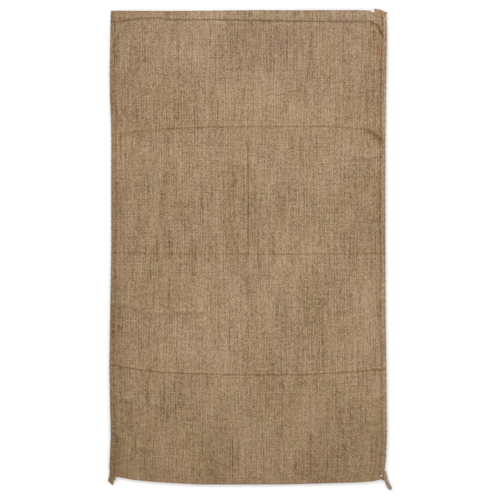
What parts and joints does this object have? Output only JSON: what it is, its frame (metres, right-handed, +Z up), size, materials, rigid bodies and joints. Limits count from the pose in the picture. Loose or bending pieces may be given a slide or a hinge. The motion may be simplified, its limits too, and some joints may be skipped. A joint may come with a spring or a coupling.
{
  "type": "race sack",
  "caption": "Long open-mouthed hessian sack for sack racing, folded at the bottom, with overhead-stitched side seams and a turned-in stitched mouth hem; its mouth opens.",
  "frame": {"origin": "on the surface that the sack lies on, under the middle of its back", "axes": "+Y along the sack from the bottom fold to the mouth, +Z up out of the front layer, +X across the sack to its right side seen from above"},
  "size_m": [0.6219, 1.048, 0.0145],
  "materials": {
    "cloth": "coarse plain-weave jute hessian, tan brown, with slubs and colour streaks along the length",
    "hem_cloth": "the same hessian turned in double, a little lighter",
    "twine": "hairy twisted jute twine"
  },
  "bodies": {
    "back_centre": {"back_centre_panel": "cloth", "bottom_fold": "cloth", "left_seam_tail": "cloth", "right_seam_tail": "twine"},
    "back_left": {"back_left_panel": "cloth", "back_left_seam_band": "cloth", "back_left_hem": "hem_cloth", "back_left_hem_stitches": "twine", "left_seam_twine": "twine"},
    "back_right": {"back_right_panel": "cloth", "back_right_seam_band": "cloth", "back_right_hem": "hem_cloth", "back_right_hem_stitches": "twine", "right_seam_twine": "twine"},
    "front_centre": {"front_centre_panel": "cloth"},
    "front_left": {"front_left_panel": "cloth", "front_left_seam_band": "cloth", "front_left_hem": "hem_cloth", "front_left_hem_stitches": "twine", "left_mouth_corner": "hem_cloth"},
    "front_right": {"front_right_panel": "cloth", "front_right_seam_band": "cloth", "front_right_hem": "hem_cloth", "front_right_hem_stitches": "twine", "right_mouth_tab": "hem_cloth"}
  },
  "joints": [
    {"name": "mouth_open", "type": "hinge", "parent": "back_centre", "child": "front_centre", "pos_m": [0, -0.5095, 0.0065], "axis": [1, 0, 0], "range_deg": [0, 18]},
    {"name": "back_left_crease", "type": "hinge", "parent": "back_centre", "child": "back_left", "pos_m": [-0.298, -0.5095, 0.0065], "axis": [0.279, 0.9603, 0], "range_deg": [0, 34.1]},
    {"name": "back_right_crease", "type": "hinge", "parent": "back_centre", "child": "back_right", "pos_m": [0.298, -0.5095, 0.0065], "axis": [0.279, -0.9603, 0], "range_deg": [0, 34.1]},
    {"name": "front_left_crease", "type": "hinge", "parent": "front_centre", "child": "front_left", "pos_m": [-0.298, -0.5095, 0.0065], "axis": [-0.279, -0.9603, 0], "range_deg": [0, 34.1]},
    {"name": "front_right_crease", "type": "hinge", "parent": "front_centre", "child": "front_right", "pos_m": [0.298, -0.5095, 0.0065], "axis": [-0.279, 0.9603, 0], "range_deg": [0, 34.1]}
  ],
  "couplings": [
    {"joint": "back_left_crease", "follows": "mouth_open", "ratio": 1.892},
    {"joint": "back_right_crease", "follows": "mouth_open", "ratio": 1.892},
    {"joint": "front_left_crease", "follows": "mouth_open", "ratio": 1.892},
    {"joint": "front_right_crease", "follows": "mouth_open", "ratio": 1.892}
  ]
}
